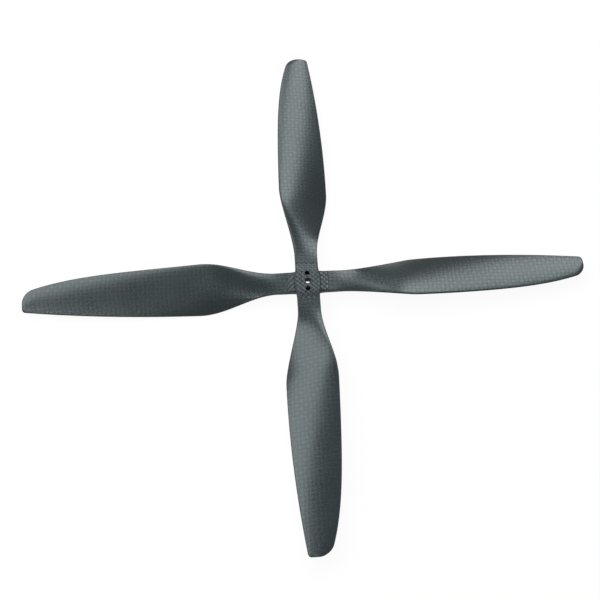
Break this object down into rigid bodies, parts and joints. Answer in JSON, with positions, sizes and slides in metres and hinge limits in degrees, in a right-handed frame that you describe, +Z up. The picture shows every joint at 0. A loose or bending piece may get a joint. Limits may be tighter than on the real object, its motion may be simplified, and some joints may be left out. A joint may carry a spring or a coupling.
{
  "type": "multirotor propeller pair",
  "caption": "Matched counter-rotating pair of two-blade carbon fibre propellers, crossed with one hub lying on the other, each with a shaft hole and screw holes.",
  "frame": {"origin": "on the axis of the lower propeller's shaft hole, at the middle of its hub's thickness", "axes": "+Z up along the shaft hole, +X along one blade of the lower propeller; the upper propeller's blades lie near +Y"},
  "size_m": [0.381, 0.3806, 0.0163],
  "materials": {
    "woven_carbon": "satin",
    "bias_carbon": "satin",
    "laminate": "sawn",
    "straight_carbon": "satin",
    "foam": "matt"
  },
  "bodies": {
    "lower_propeller": {"lower_top_skin": "woven_carbon", "lower_bottom_skin": "woven_carbon", "lower_hub_patch_top": "bias_carbon", "lower_hub_patch_bottom": "bias_carbon", "lower_hub_block": "laminate", "lower_spar_first": "straight_carbon", "lower_spar_second": "straight_carbon", "lower_nose_core_first": "foam", "lower_nose_core_second": "foam", "lower_tail_core_first": "foam", "lower_tail_core_second": "foam"},
    "upper_propeller": {"upper_top_skin": "woven_carbon", "upper_bottom_skin": "woven_carbon", "upper_hub_patch_top": "bias_carbon", "upper_hub_patch_bottom": "bias_carbon", "upper_hub_block": "laminate", "upper_spar_first": "straight_carbon", "upper_spar_second": "straight_carbon", "upper_nose_core_first": "foam", "upper_nose_core_second": "foam", "upper_tail_core_first": "foam", "upper_tail_core_second": "foam"}
  },
  "joints": [
    {"name": "upper_turn", "type": "hinge", "parent": "lower_propeller", "child": "upper_propeller", "pos_m": [-0.0006, -0.0018, 0.004], "axis": [0, 0, 1], "range_deg": [-60, 70]}
  ]
}
